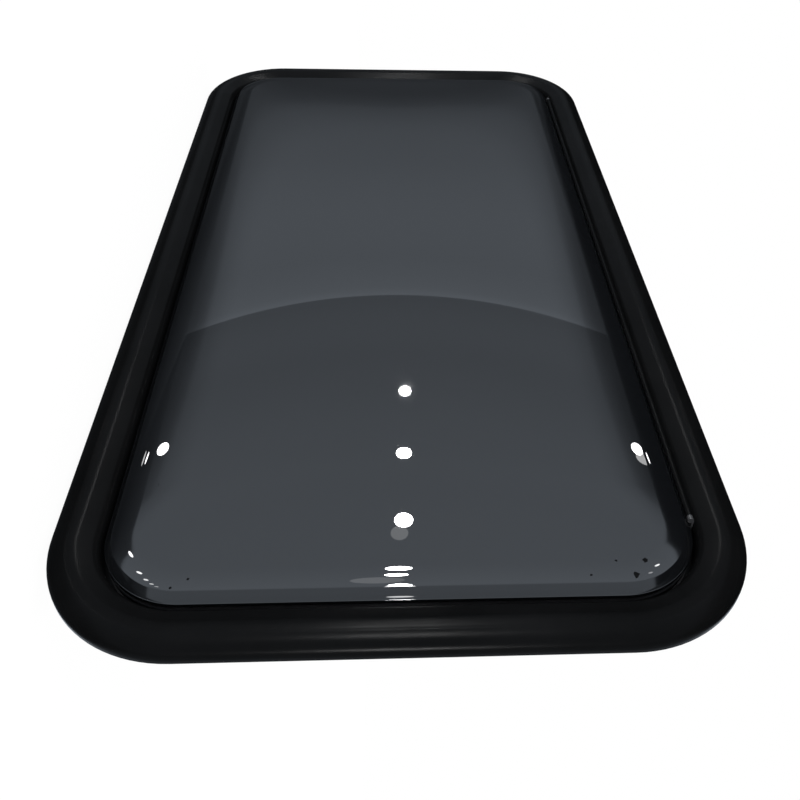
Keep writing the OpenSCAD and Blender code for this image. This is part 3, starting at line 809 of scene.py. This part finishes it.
def make_world():
    """White for the camera, the studio in what is mirrored, and an even light otherwise."""
    world = bpy.data.worlds.new("studio")
    bpy.context.scene.world = world
    world.use_nodes = True
    tree = world.node_tree
    tree.nodes.clear()

    def join(value, socket):
        if isinstance(value, (int, float)):
            socket.default_value = value
        else:
            tree.links.new(value, socket)

    def calc(operation, a, b=0.0):
        node = tree.nodes.new("ShaderNodeMath")
        node.operation = operation
        join(a, node.inputs[0])
        join(b, node.inputs[1])
        return node.outputs[0]

    def levels(value, stops, span):
        node = tree.nodes.new("ShaderNodeValToRGB")
        set_stops(node, [(place / span, (level, level, level)) for place, level in stops])
        join(calc("DIVIDE", value, span), node.inputs[0])
        return node.outputs[0]

    def background(strength, colour=(1, 1, 1, 1)):
        node = tree.nodes.new("ShaderNodeBackground")
        node.inputs["Color"].default_value = colour
        join(strength, node.inputs["Strength"])
        return node.outputs[0]

    def mixed(share, first, second):
        node = tree.nodes.new("ShaderNodeMixShader")
        for value, socket in zip((share, first, second), node.inputs):
            join(value, socket)
        return node.outputs[0]

    coords = tree.nodes.new("ShaderNodeTexCoord")
    split = tree.nodes.new("ShaderNodeSeparateXYZ")
    join(coords.outputs["Generated"], split.inputs[0])
    far = calc("MULTIPLY", split.outputs["X"], -1.0)
    out = calc("ABSOLUTE", split.outputs["Y"])
    side = split.outputs["Z"]
    angle = calc("MULTIPLY", calc("ARCTAN2", out, far), 180 / math.pi)
    edge = calc("ADD", calc("MULTIPLY", out, EDGE_OUT), calc("MULTIPLY", calc("ABSOLUTE", far), EDGE_FAR))
    width = calc("MULTIPLY", levels(angle, WIDTH_LEVELS, NEAR_SPAN), WIDTH_FULL)
    reach = calc("DIVIDE", calc("ABSOLUTE", side), calc("MULTIPLY", edge, width))
    depth = calc("DIVIDE", calc("DIVIDE", calc("MAXIMUM", far, 0.0), out), FAR_END)

    def ceiling_edge(corner):
        width, power = corner
        across = calc("POWER", calc("DIVIDE", reach, width), power)
        return levels(calc("POWER", calc("ADD", across, calc("POWER", depth, power)), 1 / power),
                      EDGE_LEVELS, SIDE_SPAN)

    left = calc("MULTIPLY", ceiling_edge(LEFT_CORNER), calc("LESS_THAN", side, 0.0))
    dim_right = calc("MULTIPLY", levels(reach, RIGHT_LEVELS, SIDE_SPAN), calc("GREATER_THAN", side, 0.0))
    right = calc("MULTIPLY", ceiling_edge(RIGHT_CORNER), dim_right)
    far_wall = calc("MULTIPLY", levels(angle, FAR_LEVELS, FAR_SPAN),
                    calc("LESS_THAN", angle, CEILING_START))
    ceiling = calc("MULTIPLY", levels(angle, NEAR_LEVELS, NEAR_SPAN),
                   calc("GREATER_THAN", angle, CEILING_START))
    level = calc("MULTIPLY", calc("ADD", far_wall, ceiling), calc("ADD", left, right))
    studio = background(level, STUDIO_TINT)
    path = tree.nodes.new("ShaderNodeLightPath")
    seen = calc("MAXIMUM", path.outputs["Is Camera Ray"], path.outputs["Is Transmission Ray"])
    lit = mixed(path.outputs["Is Glossy Ray"], background(DIFFUSE_LEVEL), studio)
    output = tree.nodes.new("ShaderNodeOutputWorld")
    join(mixed(seen, lit, background(1.0)), output.inputs["Surface"])


make_world()

# Lamps that the pane mirrors: the pixel where each shows, its width and length in metres, and its level
PANE_LAMPS = {
    "dome_far": ((405.0, 391.0), 0.042, 0.033, 450),
    "dome_mid": ((404.0, 453.0), 0.052, 0.037, 400),
    "dome_near": ((403.7, 520.0), 0.058, 0.046, 350),
    "dome_ghost": ((399.5, 533.0), 0.055, 0.046, 2.0),
    "roll_far": ((398.7, 568.4), 0.080, 0.210, 250),
    "roll_near": ((396.5, 574.8), 0.070, 0.130, 250),
    "left_spot": ((163.0, 449.0), 0.035, 0.040, 60),
    "left_streak": ((147.0, 458.0), 0.060, 0.030, 40),
    "left_ghost": ((143.9, 458.5), 0.060, 0.040, 9),
    "right_spot": ((637.0, 449.0), 0.035, 0.040, 60),
    "right_streak": ((648.0, 458.0), 0.060, 0.030, 40),
    "right_ghost": ((644.2, 459.0), 0.050, 0.040, 7),
    "left_corner_a": ((130.6, 554.3), 0.100, 0.085, 30),
    "left_corner_b": ((139.2, 572.7), 0.095, 0.070, 24),
    "left_corner_c": ((145.9, 579.8), 0.080, 0.060, 18),
    "left_corner_d": ((151.5, 584.0), 0.070, 0.050, 12),
    "left_corner_e": ((156.4, 586.7), 0.070, 0.045, 8),
    "right_corner_a": ((657.3, 565.2), 0.080, 0.065, 22),
    "right_corner_b": ((650.7, 572.7), 0.075, 0.060, 6)}
# Points on the near edges, in millimetres in the lying frame
NEAR_EDGE = (-3.6, -428.5, 15.5)
HAZE_EDGE = (-14.0, -423.5, 17.2)
# Lamps that these edges mirror: point, degrees up from the far end and to the right, width, length, level
EDGE_LAMPS = {
    "haze": (HAZE_EDGE, 79.6, -0.9, 0.160, 0.300, 1.5),
    "crease": (NEAR_EDGE, 88.0, 0.7, 0.070, 0.220, 200),
    "shoulder": (NEAR_EDGE, 110.7, 0.7, 0.090, 0.260, 260),
    "wall": (NEAR_EDGE, 159.6, 0.7, 0.080, 0.014, 14),
    "flank": (NEAR_EDGE, 170.2, 0.7, 0.300, 0.200, 170)}
LAMP_REACH = 2.0


def make_lamp(name, start, way, width, length, level):
    """An elliptical lamp that faces a point from a direction."""
    data = bpy.data.lights.new(f"lamp_{name}", "AREA")
    data.shape = "ELLIPSE"
    data.size = width
    data.size_y = length
    data.energy = level * math.pi * math.pi * width * length / 4
    lamp = bpy.data.objects.new(f"lamp_{name}", data)
    bpy.context.scene.collection.objects.link(lamp)
    along = way.cross(lay_to_row((1, 0, 0))).normalized()
    turn = Matrix((along.cross(way), along, way)).transposed()
    lamp.matrix_world = Matrix.Translation(start + way * LAMP_REACH) @ turn.to_4x4()
    lamp.visible_camera = False


def make_lamps():
    """Hangs each lamp where the pane or a near edge mirrors it to the camera."""
    for name, (pixel, width, length, level) in PANE_LAMPS.items():
        point, normal, view = pane_spot(pixel)
        make_lamp(name, point, view.reflect(normal), width, length, level)
    for name, (edge, up, right, width, length, level) in EDGE_LAMPS.items():
        a = math.radians(up)
        b = math.radians(right)
        way = lay_to_row((math.sin(b), math.cos(a) * math.cos(b), math.sin(a) * math.cos(b)))
        make_lamp(name, lay_to_row(edge) * MM, way, width, length, level)


make_lamps()

bpy.context.scene.view_settings.view_transform = "Standard"
